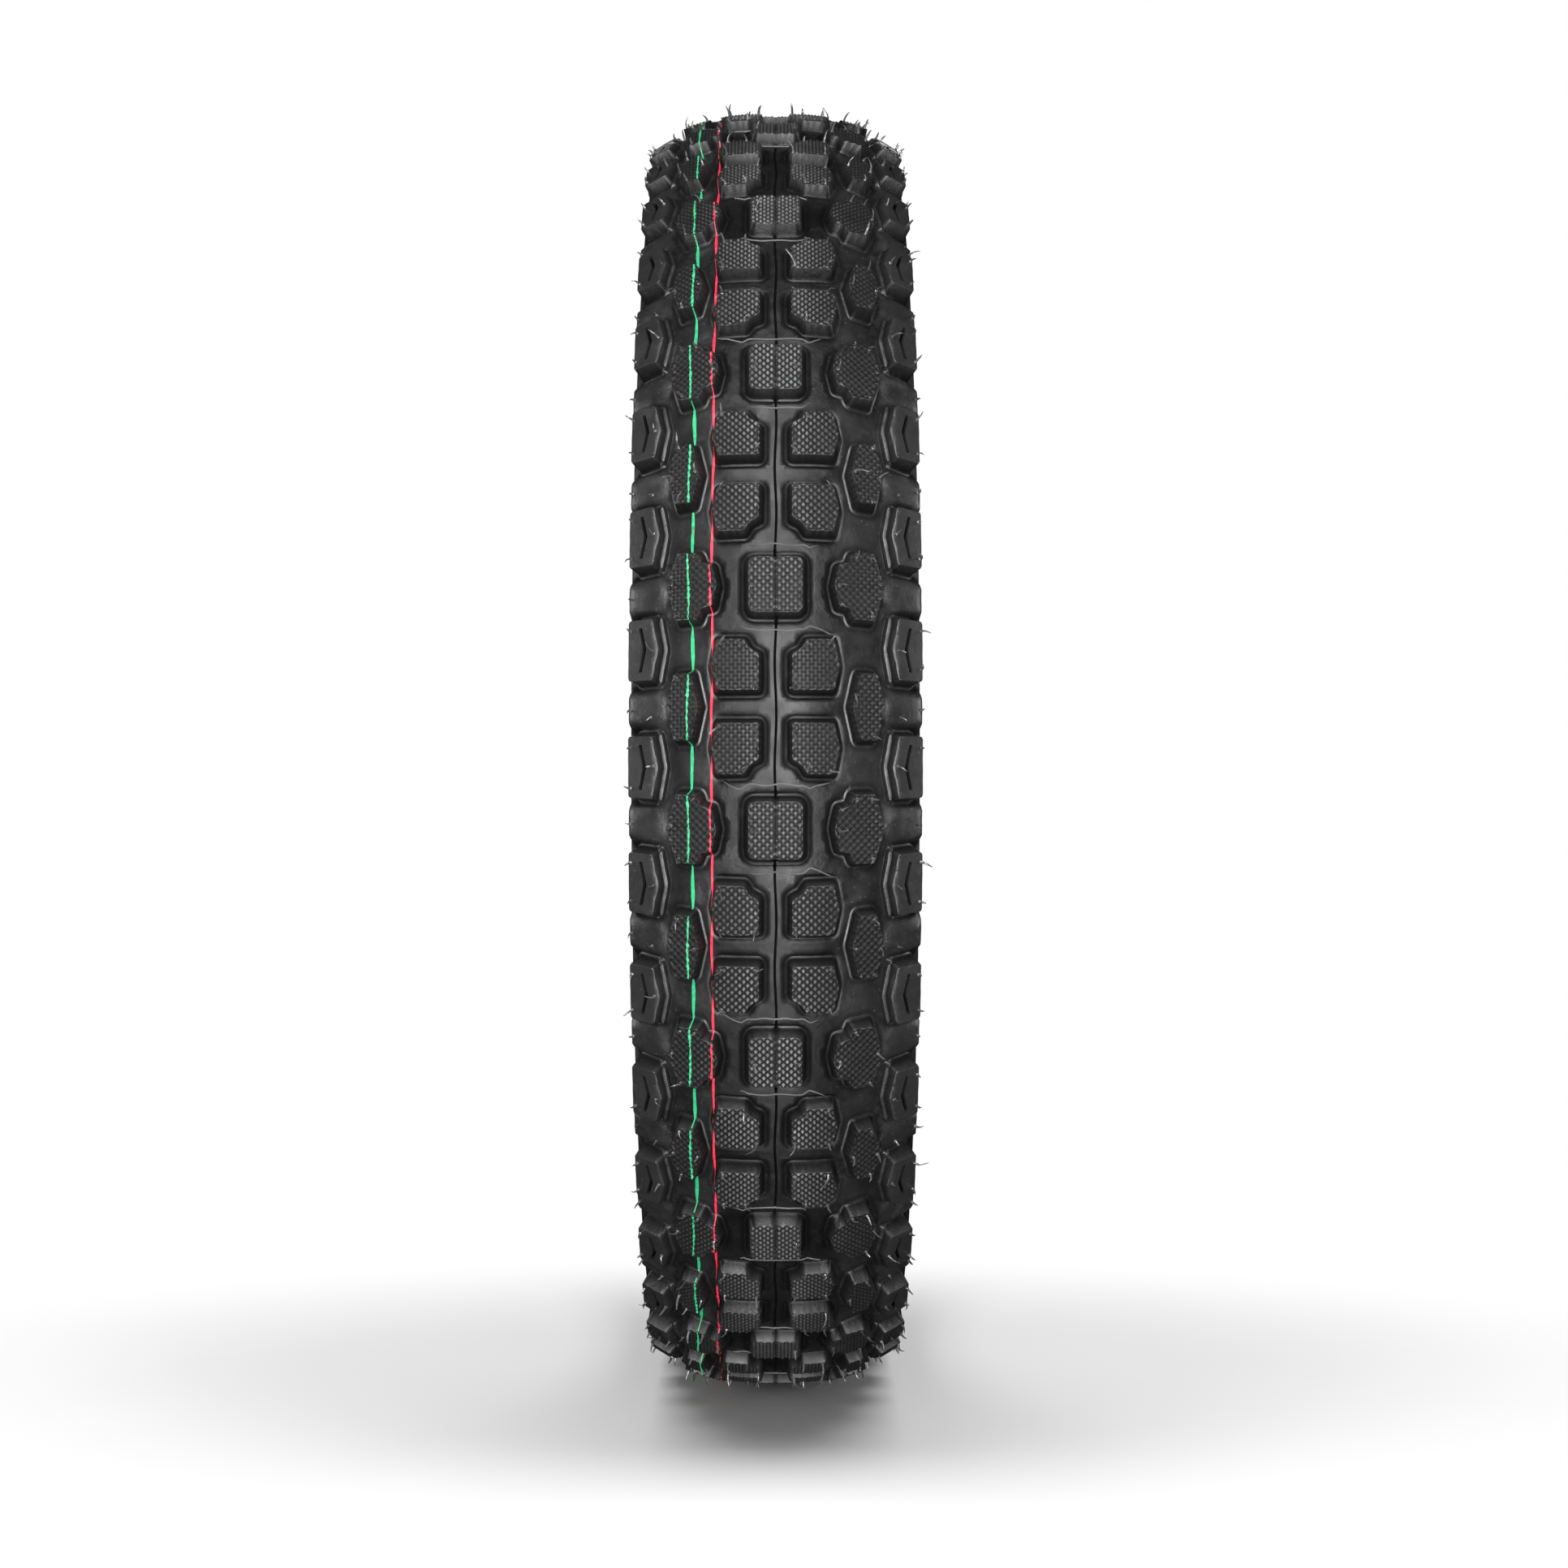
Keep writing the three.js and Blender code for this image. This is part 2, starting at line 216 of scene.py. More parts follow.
def depth_at(across, along):
    """(depth under the crown's curve, distance to the nearest knob, its index) at points."""
    across, along = np.asarray(across, float), np.asarray(along, float)
    q, p = np.abs(across), along % PITCH
    floor = np.interp(q, FLOOR_ACROSS, FLOOR_DEPTH)
    away, which, offset = np.full(q.shape, 1e9), np.zeros(q.shape, int), np.zeros(q.shape)
    for i, knob in enumerate(KNOBS):
        for turn in (-PITCH, 0, PITCH):
            d = knob.distance(q, p + turn)
            nearer = d < away
            away, which = np.where(nearer, d, away), np.where(nearer, i, which)
            offset = np.where(nearer, p + turn - knob.middle[1], offset)
    plateau = PLATEAU * np.interp(q, PLATEAU_ACROSS, PLATEAU_SHARE)
    depth = floor - plateau
    for i, knob in enumerate(KNOBS):
        near = (which == i) & (away < MOAT_EDGE)
        if not near.any():
            continue
        d, f = away[near], floor[near]
        # A shoulder knob has its ledge and its bevel on the side towards the centre plane.
        inner = np.interp(q[near], SHOULDER_INNER, [1, 0]) * (knob.kind == "shoulder")
        levels = []
        for rows in zip(BLOCK_SECTION, LEDGE_SECTION):
            plain, ledge = (f * share + knob.top * (1 - share) + extra - plateau[near] * raised
                            for share, extra, raised in rows)
            levels.append((1 - inner) * plain + inner * ledge)
        wall = levels[0].copy()
        for (a, b), (low, high) in zip(zip(RINGS, RINGS[1:]), zip(levels, levels[1:])):
            wall = np.where(d >= a, low + (high - low) * np.clip((d - a) / (b - a), 0, 1), wall)
        if knob.kind == "shoulder":
            cut = np.min([sipe.distance(q[near], p[near]) for sipe in SIPES], 0)
            wall += SIPE_DEPTH * np.interp(cut, [-SIPE_WALL, 0], [1, 0])
            wall += SHOULDER_BEVEL * np.interp(d, [-1.9, RINGS[0], RINGS[2]], [0, 1, 0]) * inner
        else:
            cut = (1 - knurl(across[near], offset[near], knob.kind)) * KNURL_DEPTH
            wall += cut * np.interp(d, [0, RINGS[2]], [1, 0])
        if knob.kind == "centre":
            wall += 0.5 * np.interp(q[near], [0, GROOVE_HALF], [1, 0]) * (d < 0)
        depth[near] = wall
    depth = depth + swell(across, along) * np.interp(away, [-1, 1], [0.3, 1])
    pad = np.full(q.shape, -1e9)
    for shape in PADS:
        for turn in (-PITCH, 0, PITCH):
            pad = np.maximum(pad, -shape.distance(q, p + turn))
    lift = np.interp(pad, [-2.5, -0.5, 2.5, 5.5], [0, 0.3, 0.85, 1])
    depth = depth - lift * np.maximum(floor - PAD_TOP, 0) * np.interp(away, [MOAT, MOAT_EDGE], [0, 1])
    depth = depth + GROOVE_DEPTH * np.interp(q, [0, GROOVE_HALF], [1, 0]) * (away > 0)
    return depth, away, which


def sheen_at(across, depth, away, which):
    """How much of its colour and gloss the rubber keeps. It is painted shade on walls, in moats, sipes and
    the knurl's valleys, and on the knobs away from the middle, where light falls less. The floor away from
    the middle keeps more, which is painted light."""
    low = depth - np.array([knob.top for knob in KNOBS])[which]
    smooth = np.array([knob.kind == "shoulder" for knob in KNOBS])[which]
    # Painted shade in the knurl's valleys, and on the knobs away from the middle where light falls less.
    knurled = np.interp(low, [0, KNURL_DEPTH], [1, 0.25])
    knurled = knurled * np.interp(abs(across), [8, 15, 26, 34, 46], [1, 0.68, 0.5, 0.4, 0.36])
    face = np.where(smooth, np.interp(low, [0.7, 1.5], [0.55, 0]), knurled)
    # The floor: painted shade near the middle, painted light away from it, and painted shade along the edge
    # of each moat that dims its bevel's highlight.
    floor = np.interp(abs(across), [6, 14, 22, 32, 48, 54], [0.38, 0.24, 0.22, 0.9, 0.85, 0.75])
    floor = floor * np.interp(away, [2.8, 3.4, 4.2, 5.0], [1, 0.6, 0.6, 1])
    # Painted shade on the knobs' walls, fading out across the moat.
    wall = np.interp(away, [0, 0.15], [0.5, 0.14])
    between = wall + (floor - wall) * np.interp(away, [1.3, 2.4], [0, 1])
    return np.where(away < 0, face, between)


# ---- One pitch of one side, triangulated ----
STEP = 1.1  # spacing of points along a knob's edges
FLOOR_STEP = 1.9  # and on the floor
MIDDLE_POINTS, EDGE_POINTS = 69, 27  # along a pitch, on the centre plane and on the tread's edge
SEAM = 18.75  # where a pitch starts, along the tread from a centre knob


def tread_seam():
    """The line across one side, between knobs, where one pitch ends and the next begins."""
    corners = [(0, SEAM), (44.2, SEAM), (49.6, 10.2), (54.5, 6.6), (TREAD_EDGE, 5.5)]
    points = []
    for (x0, y0), (x1, y1) in zip(corners, corners[1:]):
        count = max(1, round(math.hypot(x1 - x0, y1 - y0) / FLOOR_STEP))
        points += [(x0 + (x1 - x0) * i / count, y0 + (y1 - y0) * i / count) for i in range(count)]
    return np.array([(0, SEAM), (GROOVE_HALF, SEAM)] + points[1:] + [corners[-1]])


def pitch_mesh():
    """(points, triangles, the seam's points) of one side of a pitch, in across and along."""
    seam = tread_seam()
    points, edges = [], []

    def chain(line, closed=False):
        first = len(points)
        points.extend(map(tuple, line))
        edges.extend((first + i, first + i + 1) for i in range(len(line) - 1))
        if closed:
            edges.append((first + len(line) - 1, first))

    start, end = seam[0][1], seam[0][1] + PITCH
    middle_line = [(0.0, p) for p in np.linspace(start, end, MIDDLE_POINTS)[1:-1]]
    outer_ends = seam[-1][1], seam[-1][1] + PITCH
    outer_line = [(TREAD_EDGE, p) for p in np.linspace(*outer_ends, EDGE_POINTS)[1:-1]]
    boundary = [*seam, *outer_line, *(seam + [0, PITCH])[::-1], *middle_line[::-1]]
    chain(boundary, closed=True)
    outline = np.array(boundary)
    for knob in KNOBS:
        ahead = [0, PITCH if knob.kind in AHEAD else 0]
        for at in RINGS:
            loop = knob.loop(at, STEP * 1.4 if at > 2 else STEP * 0.9)
            if knob.kind == "centre":
                reach = CENTRE[2][1] + at
                right = loop[loop[:, 0] > 0.5]
                right = right[np.argsort(np.arctan2(right[:, 1], right[:, 0]))]
                chain(np.array([(0.0, -reach), *right, (0.0, reach)]) + ahead)
            else:
                chain(loop + ahead, closed=True)
    for sipe in SIPES:
        for at in (0, -SIPE_WALL):
            chain(sipe.loop(at, STEP), closed=True)
    grid = []
    for knob in KNOBS:
        low, high = knob.core.min(0) - 2, knob.core.max(0) + 2
        smooth = knob.kind == "shoulder"
        dq, dp = (1.5, 1.5) if smooth else (KNURL_ACROSS / 4, KNURL_ALONG / 4)
        # The ridges are counted from the centre plane and from each knob's own middle.
        rows = int((high[1] - low[1]) / 2 / dp) + 1
        i, j = np.meshgrid(np.arange(math.ceil(low[0] / dq), high[0] / dq), np.arange(-rows, rows + 1))
        keep = ((i + j) % 2 == 0) | smooth
        a, b = i[keep] * dq, knob.middle[1] + j[keep] * dp
        inside = (knob.distance(a, b) < RINGS[0] - 0.3) & (a > 0.2)
        for sipe in SIPES:
            inside &= sipe.distance(a, b) > 0.5
        ahead = [0, PITCH if knob.kind in AHEAD else 0]
        grid.append(np.stack([a[inside], b[inside]], 1) + ahead)
    steps = np.arange(1.6, TREAD_EDGE - 0.6, FLOOR_STEP), np.arange(0, 2 * PITCH, FLOOR_STEP)
    a, b = (v.ravel() for v in np.meshgrid(*steps))
    away = depth_at(a, b)[1]
    grid.append(np.stack([a, b], 1)[away > MOAT_EDGE + 0.7])
    groove = np.arange(start + 0.8, end - 0.4, 1.5)
    line = np.stack([np.full(groove.shape, GROOVE_HALF), groove], 1)
    grid.append(line[np.abs(depth_at(line[:, 0], line[:, 1])[1]) > 0.2])
    extra = np.concatenate(grid)
    extra = extra[outside(extra[:, 0], extra[:, 1], outline) < -0.5]
    points.extend(map(tuple, extra))
    made = delaunay_2d_cdt([Vector(p) for p in points], edges, [], 1, 1e-4)
    return np.array([(v.x, v.y) for v in made[0]]), np.array(made[2]), seam


# ---- Meshes ----
def make_piece(name, points, faces, material, slot, sharp=40, **values):
    """A named closed mesh that rides on the tire, with creases above `sharp` degrees. `values` are
    numbers kept for each point."""
    mesh = bpy.data.meshes.new(name)
    mesh.from_pydata(np.asarray(points).tolist(), [], [list(f) for f in faces])
    shape = bmesh.new()
    shape.from_mesh(mesh)
    bmesh.ops.recalc_face_normals(shape, faces=shape.faces)
    shape.to_mesh(mesh)
    shape.free()
    mesh.polygons.foreach_set("use_smooth", np.ones(len(mesh.polygons), bool))
    mesh.set_sharp_from_angle(angle=math.radians(sharp))
    for label, numbers in values.items():
        kept = mesh.attributes.new(label, "FLOAT", "POINT")
        kept.data.foreach_set("value", np.asarray(numbers, np.float32))
    mesh.materials.append(material)
    piece = bpy.data.objects.new(name, mesh)
    bpy.context.scene.collection.objects.link(piece)
    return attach(piece, "root")


def open_edges(faces):
    """Directed edges of triangles that no other triangle shares."""
    edges = np.concatenate([faces[:, [0, 1]], faces[:, [1, 2]], faces[:, [2, 0]]])
    owner = np.tile(np.arange(len(faces)), 3)
    size = faces.max() + 1
    code, back = edges[:, 0] * size + edges[:, 1], edges[:, 1] * size + edges[:, 0]
    alone = ~np.isin(code, back)
    return edges[alone], owner[alone]


def build_tread(material):
    """The knobs and the floor round them, cut apart along a line in each moat."""
    flat, tris, seam = pitch_mesh()
    count = len(flat)
    place = {tuple(v): i for i, v in enumerate(np.round(flat, 3).tolist())}
    lower = [place[tuple(v)] for v in np.round(seam, 3).tolist()]
    upper = [place[tuple(v)] for v in np.round(seam + [0, PITCH], 3).tolist()]
    centred = flat[:, 0] < 1e-5
    _, away, which = depth_at(*flat[tris].mean(1).T)
    region = np.where(away < MOAT, which, -1)
    points, heights, sheens, faces, regions, owners = [], [], [], [], [], []
    for s, side in enumerate((1, -1)):
        across = flat[:, 0] * side
        depth, apart, nearest = depth_at(across, flat[:, 1])
        # The parting line round the middle wanders a little from side to side on the floor.
        drift = 0.35 * np.exp(-((flat[:, 0] / 3) ** 2)) * (apart > 0)
        floor = np.interp(flat[:, 0], FLOOR_ACROSS, FLOOR_DEPTH)
        for k in range(PITCHES):
            along = flat[:, 1] + k * PITCH
            wander = drift * np.sin(2 * math.pi * along * 47 / (PITCHES * PITCH))
            points.append(on_tire(across + wander, along, depth))
            heights.append(1 - depth / floor)
            # Each point keeps its painted shade and gloss.
            sheens.append(sheen_at(across, depth, apart, nearest))
            index = (s * PITCHES + k) * count + np.arange(count)
            index[upper] = (s * PITCHES + (k + 1) % PITCHES) * count + np.array(lower)
            if side < 0:
                index[centred] -= PITCHES * count
            faces.append(index[tris] if side > 0 else index[tris][:, ::-1])
            regions.append(region)
            # Both halves of a centre knob have one owner, and each other knob has its own.
            owners.append(np.where(region == 0, 0, region * 2 + s) * PITCHES + k)
    points, heights, sheens, faces, regions, owners = map(
        np.concatenate, (points, heights, sheens, faces, regions, owners))

    def under(owner, deeper):
        """The point under an owner, which is one knob, deeper than the tread's floor there."""
        kind, turn = divmod(owner, PITCHES)
        index, s = divmod(kind, 2)
        q, p = KNOBS[index].middle
        along = p + (turn + (KNOBS[index].kind in AHEAD)) * PITCH
        side = 0 if index == 0 else (1, -1)[s]
        return on_tire(q * side, along, np.interp(q, FLOOR_ACROSS, FLOOR_DEPTH) + deeper)

    def cones(edges, owner, deeper):
        """(tips, triangles) that close the open edges of each owner."""
        ids, apex = np.unique(owner, return_inverse=True)
        tips = np.array([under(i, deeper) for i in ids])
        return tips, np.stack([edges[:, 1], edges[:, 0], len(points) + apex], 1)

    def piece(name, faces, added, sharp):
        """A piece of the tread, from its triangles and the points that it adds to the shared ones."""
        used, renumbered = np.unique(faces, return_inverse=True)
        height, sheen = (np.concatenate([v, np.zeros(len(added))])[used] for v in (heights, sheens))
        return make_piece(name, np.concatenate([points, added])[used], renumbered.reshape(faces.shape),
                          material, "tread_rubber", sharp, height=height, sheen=sheen)

    for kind in dict.fromkeys(knob.kind for knob in KNOBS):
        members = [i for i, knob in enumerate(KNOBS) if knob.kind == kind]
        chosen = np.isin(regions, members)
        edges, owner = open_edges(faces[chosen])
        bottoms, closing = cones(edges, owners[chosen][owner], 0.2)
        piece(f"{kind}_knobs", np.concatenate([faces[chosen], closing]), bottoms, 24)

    chosen = regions < 0
    edges, _ = open_edges(faces[chosen])
    outer = np.flatnonzero(flat[:, 0] > TREAD_EDGE - 1e-4)
    outer = outer[np.argsort(flat[outer, 1])][:-1]
    tops = [np.concatenate([(s * PITCHES + k) * count + outer for k in range(PITCHES)]) for s in (0, 1)]
    holes = edges[~np.isin(edges, np.concatenate(tops)).all(1)]
    # Each hole's edges belong to the knob that fills it.
    knob_edges, knob_owner = open_edges(faces[~chosen])
    size = len(points)
    mine = {a * size + b: o for (a, b), o in zip(knob_edges.tolist(), owners[~chosen][knob_owner].tolist())}
    owner = np.array([mine[b * size + a] for a, b in holes.tolist()])
    lids, closing = cones(holes, owner, 0.9)
    columns = np.linspace(TREAD_EDGE, -TREAD_EDGE, 17)
    rows = np.concatenate([flat[outer, 1] + k * PITCH for k in range(PITCHES)])
    depth = np.interp(np.abs(columns), FLOOR_ACROSS, FLOOR_DEPTH) + TREAD_BASE
    inner = on_tire(columns[None, :], rows[:, None], depth[None, :])
    start = size + len(lids)
    grid = start + np.arange(inner.shape[0] * len(columns)).reshape(inner.shape[:2])
    grid = np.concatenate([tops[0][:, None], grid, tops[1][:, None]], 1)
    ahead = np.roll(grid, -1, 0)
    quads = np.stack([grid[:, :-1], grid[:, 1:], ahead[:, 1:], ahead[:, :-1]], -1).reshape(-1, 4)
    inside = np.concatenate([quads[:, [0, 1, 2]], quads[:, [0, 2, 3]]])
    added = np.concatenate([lids, inner.reshape(-1, 3)])
    base = piece("tread_base", np.concatenate([faces[chosen], closing, inside]), added, 55)
    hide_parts("tread_cap")


# ---- Materials ----
class Nodes:
    """Builds one node material, piece by piece."""

    def __init__(self, name):
        self.material = bpy.data.materials.new(name)
        self.material.use_nodes = True
        self.tree = self.material.node_tree
        self.shader = self.tree.nodes["Principled BSDF"]
        self.place = self.add("ShaderNodeTexCoord").outputs["Object"]

    def add(self, kind, inputs=None, **settings):
        node = self.tree.nodes.new(kind)
        for label, value in settings.items():
            setattr(node, label, value)
        self.fill(node, inputs or {})
        return node

    def fill(self, node, inputs):
        """Link or set each input of a node."""
        for label, value in inputs.items():
            if isinstance(value, bpy.types.NodeSocket):
                self.tree.links.new(value, node.inputs[label])
            else:
                node.inputs[label].default_value = value

    def noise(self, scale, detail=4.0, roughness=0.55):
        inputs = {"Vector": self.place, "Scale": scale, "Detail": detail, "Roughness": roughness}
        return self.add("ShaderNodeTexNoise", inputs).outputs["Fac"]

    def spread(self, value, low, high, to_low, to_high):
        inputs = {"Value": value, "From Min": low, "From Max": high, "To Min": to_low, "To Max": to_high}
        return self.add("ShaderNodeMapRange", inputs).outputs["Result"]

    def number(self, operation, a, b):
        return self.add("ShaderNodeMath", {0: a, 1: b}, operation=operation).outputs[0]

    def blend(self, share, first, second):
        return self.add("ShaderNodeMix", {0: share, 6: first, 7: second}, data_type="RGBA").outputs[2]

    def bump(self, height, distance, strength, under=None):
        inputs = {"Height": height, "Distance": distance, "Strength": strength}
        if under is not None:
            inputs["Normal"] = under
        return self.add("ShaderNodeBump", inputs).outputs["Normal"]

    def finish(self, colour, roughness, normal, metallic=0.0, specular=0.5):
        self.fill(self.shader, {"Base Color": colour, "Roughness": roughness, "Normal": normal,
                                "Metallic": metallic, "Specular IOR Level": specular})
        return self.material


def tone(level, tint=(1.0, 1.0, 1.0)):
    """An opaque colour of one brightness, tinted."""
    return (level * tint[0], level * tint[1], level * tint[2], 1.0)


def rubber(name, dark, light, tint, roughness, dust=0.0, raised=0.0, specular=0.5):
    """Moulded rubber: slow and fine mottling, a dusty bloom, uneven gloss and a fine grain. `raised` lightens
    the points that stand high, by the height kept on the mesh: dust on the high points and painted shade in
    the low points and the moats. It also uses the painted shade and gloss kept on the mesh."""
    n = Nodes(name)
    slow, fine = n.noise(22, 5.0), n.noise(420, 3.0, 0.6)
    mottle = n.number("ADD", n.number("MULTIPLY", slow, 0.7), n.number("MULTIPLY", fine, 0.3))
    colour = n.blend(n.spread(mottle, 0.35, 0.65, 0, 1), tone(dark, tint), tone(light, tint))
    if raised:
        # Dust on the high points, and painted shade left in the low points and the moats.
        height = n.add("ShaderNodeAttribute", attribute_name="height").outputs["Fac"]
        top = n.spread(height, 0.1, 1.0, 0.0, raised)
        colour = n.blend(top, colour, tone(light * 2.2, tint))
    bloom = n.spread(n.noise(60, 6.0, 0.7), 0.56, 0.72, 0.0, dust)
    colour = n.blend(bloom, colour, tone(light * 4, (1.0, 0.99, 0.97)))
    specks = n.spread(n.noise(900, 2.0, 0.5), 0.68, 0.74, 0.0, dust * 1.5)
    colour = n.blend(specks, colour, tone(light * 8, (1.0, 0.99, 0.97)))
    gloss = n.spread(n.number("ADD", n.noise(90, 3.0), n.number("MULTIPLY", bloom, 0.8)), 0.3, 0.8,
                     roughness - 0.1, roughness + 0.16)
    if raised:
        # Painted shade: the colour darkens towards black and the specular level drops where the mesh keeps
        # little of its colour and gloss.
        sheen = n.add("ShaderNodeAttribute", attribute_name="sheen").outputs["Fac"]
        colour = n.blend(sheen, n.blend(0.8, colour, tone(0.0004)), colour)
        specular = n.number("MULTIPLY", sheen, specular)
    coarse = n.bump(n.noise(190, 4.0), 0.0007, 0.45)
    grain = n.bump(n.noise(2600, 2.0), 0.00012, 0.5, coarse)
    return n.finish(colour, gloss, grain, specular=specular)


def woven(name, dark, light, across, roughness):
    """Rubbered cord fabric: close parallel cords with a fine grain."""
    n = Nodes(name)
    cords = n.add("ShaderNodeTexWave", {"Vector": n.place, "Scale": across, "Distortion": 1.2,
                                        "Detail": 2.0}, bands_direction="DIAGONAL").outputs["Fac"]
    colour = n.blend(cords, dark, light)
    colour = n.blend(n.spread(n.noise(140), 0.4, 0.7, 0, 0.35), colour, tone(0.02))
    return n.finish(colour, n.spread(n.noise(300), 0.3, 0.7, roughness - 0.1, roughness + 0.1),
                    n.bump(cords, 0.0004, 0.6))


def wire(name):
    """Brassed bead wire in close turns."""
    n = Nodes(name)
    turns = n.add("ShaderNodeTexWave", {"Vector": n.place, "Scale": 260.0, "Distortion": 0.4},
                  bands_direction="Y").outputs["Fac"]
    colour = n.blend(n.spread(n.noise(180), 0.35, 0.7, 0, 1), tone(0.42, (1.0, 0.86, 0.62)),
                     tone(0.6, (1.0, 0.93, 0.8)))
    return n.finish(colour, n.spread(n.noise(420), 0.3, 0.7, 0.28, 0.5), n.bump(turns, 0.0003, 0.7), 1.0)


def paint(name, colour, faded):
    """A thin stripe of marking paint with worn patches and a slight texture."""
    n = Nodes(name)
    wear = n.spread(n.noise(700, 5.0, 0.7), 0.38, 0.62, 0.0, 1.0)
    mixed = n.blend(wear, colour, faded)
    mixed = n.blend(n.spread(n.noise(160, 3.0), 0.62, 0.75, 0.0, 0.5), mixed, tone(0.06))
    return n.finish(mixed, n.spread(wear, 0, 1, 0.42, 0.62), n.bump(n.noise(1500), 0.0001, 0.5))


TREAD_RUBBER = rubber("tread_rubber_moulded", 0.008, 0.015, (1.0, 1.0, 1.03), 0.38, dust=0.3, raised=0.8,
                      specular=0.8)
# The flash is far lighter than the tread: a painted highlight for the light its thin edges catch.
FLASH_RUBBER = rubber("mould_flash_rubber", 0.07, 0.15, (1.0, 1.0, 1.0), 0.65, specular=0.15)
# The hairs are lighter than the tread: painted glints.
SPEW_RUBBER = rubber("vent_spew_rubber", 0.02, 0.09, (1.0, 1.0, 1.0), 0.24, specular=1.0)
SIDE_RUBBER = rubber("sidewall_rubber_moulded", 0.008, 0.012, (1.05, 1.0, 0.95), 0.46, dust=0.04)
LINER_RUBBER = rubber("inner_liner_rubber", 0.03, 0.05, (1.0, 1.0, 1.0), 0.42, dust=0.15)
INNER_RUBBER = rubber("inner_rubber_cured", 0.012, 0.02, (1.0, 1.0, 1.0), 0.6)
CORD = (1.0, 0.92, 0.8)
PLY_FABRIC = woven("ply_cord_fabric", tone(0.05, CORD), tone(0.11, CORD), 300.0, 0.75)
BREAKER_FABRIC = woven("breaker_cord_fabric", tone(0.045, CORD), tone(0.095, CORD), 240.0, 0.75)
CHAFER_FABRIC = woven("chafer_fabric", tone(0.012), tone(0.026), 420.0, 0.6)
BEAD_WIRE = wire("bead_wire_brassed")
GREEN_PAINT = paint("stripe_paint_green", (0.015, 0.31, 0.12, 1), (0.03, 0.4, 0.18, 1))
RED_PAINT = paint("stripe_paint_red", (0.62, 0.010, 0.035, 1), (0.75, 0.03, 0.07, 1))


# ---- Hairs, flash and stripes on the tread ----
def outward(across, along, depth):
    """The direction straight out of the tread, of length 1."""
    up = on_tire(across, along, depth - 1) - on_tire(across, along, depth)
    return up / np.linalg.norm(up, axis=-1, keepdims=True)


def hair(root, up, lean, length, thick):
    """Points and faces of one vent spew: a flared foot and a thin bent hair that ends in a point."""
    lean = lean - up * (lean @ up)
    side = np.cross(up, lean)
    side = side / max(np.linalg.norm(side), 1e-9)
    sides = 6
    # (distance along the hair, radius)
    along = [(-0.3, 0.9), (0.3, 0.8), (0.5, 0.55)]
    along += [(0.4 * length, 0.48), (0.7 * length, 0.4), (length, 0.18)]
    points, faces = [], []
    for far, wide in along:
        share = max(0.0, far / length)
        centre = root + (up * far * (1 - 0.25 * share) + lean * length * share**2) * MM
        for i in range(sides):
            a = 2 * math.pi * i / sides
            ring = math.cos(a) * side + math.sin(a) * np.cross(side, up)
            points.append(centre + ring * wide * thick * MM)
    for j in range(len(along) - 1):
        for i in range(sides):
            k = (i + 1) % sides
            faces.append((j * sides + i, j * sides + k, (j + 1) * sides + k, (j + 1) * sides + i))
    faces += [tuple(range(sides))[::-1], tuple(range((len(along) - 1) * sides, len(along) * sides))]
    return points, faces


HAIR_LENGTHS, HAIR_WIDTHS = (0.6, 1.2), (0.8, 1.1)  # shares of a vent's own length and of the width
HAIR_LEAN = 0.28
VENTS_BARE = 0.12  # share of the vents that left no hair
# Where the mould's vents are, in a pitch of one side: (across, along, usual length of a hair).
VENTS = [
    (8.9, 0.5, 5.0), (8.4, 42.4, 6.5), (22.9, 42.6, 6.5), (22.6, 24.7, 6.0), (13.4, 25.4, 4.5),
    (8.4, PITCH - 42.4, 6.5), (22.9, PITCH - 42.6, 6.5), (22.6, PITCH - 24.7, 6.0), (13.4, PITCH - 25.4, 4.5),
    (27.0, 0.4, 6.0), (44.2, -1.0, 6.5), (40.6, 12.6, 6.0), (34.2, -12.6, 5.0), (40.6, -12.6, 6.0),
    (33.9, PITCH / 2, 6.0), (44.8, PITCH / 2 + 1, 6.5),
    (41.6, PITCH / 2 - 12.4, 5.5), (41.6, PITCH / 2 + 12.4, 5.5),
    (53.4, PITCH / 4 + 0.4, 5.5), (53.4, 3 * PITCH / 4 - 0.6, 5.5),
    (64.8, PITCH / 4 - 9.0, 5.0), (64.8, PITCH / 4 + 8.5, 5.0), (64.8, 3 * PITCH / 4 - 8.5, 5.0),
    (64.8, 3 * PITCH / 4 + 9.0, 5.0), (69.0, 0.5, 4.5), (69.0, PITCH / 2, 4.0), (57.5, PITCH / 2 + 4, 3.5),
]


def build_hairs(material):
    """Vent spews on the knobs and the pads, each with its own length, lean and width."""
    rng = np.random.default_rng(SEED)
    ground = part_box("tread_cap")[0].z
    vents = np.array([(side * q, p + k * PITCH, usual) for side in (1, -1) for k in range(PITCHES)
                      for q, p, usual in VENTS])
    vents = vents[rng.random(len(vents)) > VENTS_BARE]
    vents[:, :2] += rng.uniform(-0.3, 0.3, (len(vents), 2))
    lengths = vents[:, 2] * rng.uniform(*HAIR_LENGTHS, len(vents))
    leans = rng.normal(size=(len(vents), 3)) * HAIR_LEAN
    depth = depth_at(vents[:, 0], vents[:, 1])[0]
    roots, ups = on_tire(vents[:, 0], vents[:, 1], depth), outward(vents[:, 0], vents[:, 1], depth)
    points, faces = [], []
    for root, up, lean, length in zip(roots, ups, leans, lengths):
        made = hair(root, up, lean, length, rng.uniform(*HAIR_WIDTHS))
        start = len(points)
        # A hair under the tire is pressed flat by the ground.
        points += [(x, y, max(z, ground)) for x, y, z in made[0]]
        faces += [tuple(start + i for i in face) for face in made[1]]
    make_piece("vent_spews", points, faces, material, "tread_rubber")


